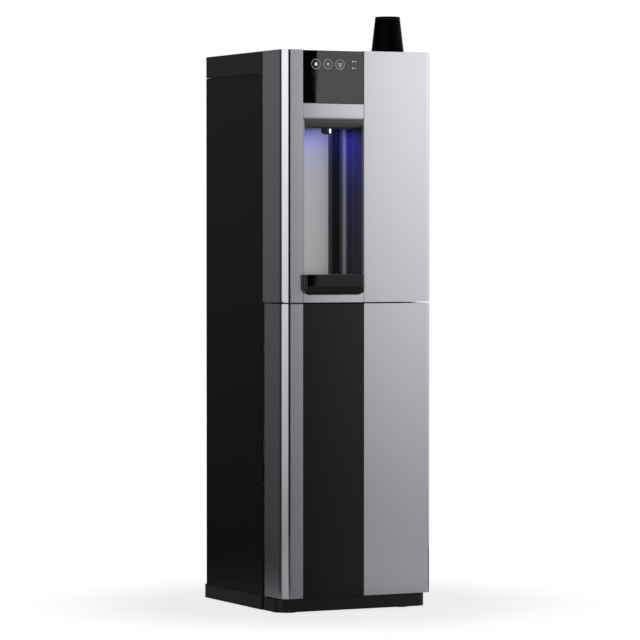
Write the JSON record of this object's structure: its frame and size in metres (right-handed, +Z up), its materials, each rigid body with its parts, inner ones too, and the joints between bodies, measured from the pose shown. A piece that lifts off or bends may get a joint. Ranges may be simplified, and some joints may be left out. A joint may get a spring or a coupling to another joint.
{
  "type": "water dispenser",
  "caption": "Tall floor-standing water dispenser: dispensing niche with drip tray under a touch glass, hinged lower door, and a sprung cup store in the top.",
  "frame": {"origin": "on the floor, under the middle of the whole object", "axes": "+X to the viewer's right, +Y to the back, +Z up; the front with the niche faces -Y"},
  "size_m": [0.375, 0.419, 1.325],
  "materials": {
    "black_sheet": "satin black powder coat",
    "black_plastic": "satin moulding",
    "gloss_black": "glossy moulding",
    "silver_front": "satin silver paint",
    "front_glass": "black from behind, polished",
    "brushed_plate": "brushed",
    "chrome": "bright chrome",
    "lamp": "clear, lit blue",
    "bare_steel": "plain zinc",
    "soft_black": "matt",
    "paper_black": "coated paper board",
    "foam": "moulded foam",
    "copper": "drawn tube",
    "machine_black": "gloss paint",
    "fins": "bare",
    "white_plastic": "moulded",
    "tube": "extruded",
    "board": "solder mask",
    "bearing": "turned",
    "ferrite": "pressed"
  },
  "bodies": {
    "cabinet": {"apron": "silver_front", "base_deck": "bare_steel", "cold_tank": "bare_steel", "column_left": "silver_front", "column_right": "silver_front", "compressor": "machine_black", "compressor_bolts": "bare_steel", "compressor_mounts": "soft_black", "condenser": "fins", "control_glass": "front_glass", "control_housing": "black_plastic", "cup_retainer": "soft_black", "cup_spring": "bare_steel", "cup_tube": "black_plastic", "dispense_head": "silver_front", "door_magnet": "ferrite", "evaporator_coil": "copper", "fan_motor": "bare_steel", "fan_shroud": "black_plastic", "filter_head": "white_plastic", "frame_posts": "bare_steel", "hinge_pins": "bare_steel", "hinge_plates": "bare_steel", "inlet_fitting": "white_plastic", "lamp_lens": "lamp", "main_board": "board", "mains_inlet": "black_plastic", "mid_shelf": "bare_steel", "niche_back_panel": "brushed_plate", "niche_liner": "gloss_black", "nozzle": "chrome", "plinth_kick": "black_plastic", "plinth_rear": "black_plastic", "rear_panel": "black_sheet", "rear_panel_screws": "bare_steel", "refrigerant_pipes": "copper", "side_panel_left": "black_sheet", "side_panel_right": "black_sheet", "tank_insulation": "foam", "top_cover": "black_plastic", "touch_board": "board", "valve_manifold": "black_plastic", "water_tubes": "tube"},
    "door": {"door_left_profile": "silver_front", "door_centre_panel": "gloss_black", "door_right_panel": "silver_front", "door_core": "black_plastic", "hinge_bushes": "bearing", "door_strike": "bare_steel"},
    "tray": {"drip_tray": "gloss_black"},
    "grille": {"drip_grille": "brushed_plate"},
    "cup_lift": {"cup_follower": "black_plastic", "cup_stack": "paper_black"},
    "loose_cup": {"top_cup": "paper_black"},
    "fan": {"fan_rotor": "black_plastic"},
    "filter": {"filter_cartridge": "white_plastic"},
    "foot_front_left": {"levelling_foot_front_left": "black_plastic"},
    "foot_front_right": {"levelling_foot_front_right": "black_plastic"},
    "foot_rear_left": {"levelling_foot_rear_left": "black_plastic"},
    "foot_rear_right": {"levelling_foot_rear_right": "black_plastic"}
  },
  "joints": [
    {"name": "door_hinge", "type": "hinge", "parent": "cabinet", "child": "door", "pos_m": [0.173, -0.116, 0.036], "axis": [0, 0, 1], "range_deg": [0, 110]},
    {"name": "tray_slide", "type": "slide", "parent": "cabinet", "child": "tray", "axis": [0, -1, 0], "range_m": [0, 0.08]},
    {"name": "grille_lift", "type": "slide", "parent": "tray", "child": "grille", "axis": [0, 0, 1], "range_m": [0, 0.06]},
    {"name": "cup_lift_slide", "type": "slide", "parent": "cabinet", "child": "cup_lift", "axis": [0, 0, 1], "range_m": [-0.25, 0], "stiffness_N_per_m": 50, "springref_m": 0.06, "deforming": ["cup_spring"]},
    {"name": "top_cup_pull", "type": "slide", "parent": "cup_lift", "child": "loose_cup", "axis": [0, 0, 1], "range_m": [0, 0.12]},
    {"name": "fan_spin", "type": "hinge", "parent": "cabinet", "child": "fan", "pos_m": [0.07, 0.1294, 0.133], "axis": [0, 1, 0], "continuous": true},
    {"name": "filter_twist", "type": "hinge", "parent": "cabinet", "child": "filter", "pos_m": [0.11, -0.045, 0.63], "axis": [0, 0, 1], "range_deg": [0, 90]},
    {"name": "foot_front_left_screw", "type": "slide", "parent": "cabinet", "child": "foot_front_left", "axis": [0, 0, -1], "range_m": [0, 0.01]},
    {"name": "foot_front_right_screw", "type": "slide", "parent": "cabinet", "child": "foot_front_right", "axis": [0, 0, -1], "range_m": [0, 0.01]},
    {"name": "foot_rear_left_screw", "type": "slide", "parent": "cabinet", "child": "foot_rear_left", "axis": [0, 0, -1], "range_m": [0, 0.01]},
    {"name": "foot_rear_right_screw", "type": "slide", "parent": "cabinet", "child": "foot_rear_right", "axis": [0, 0, -1], "range_m": [0, 0.01]}
  ]
}
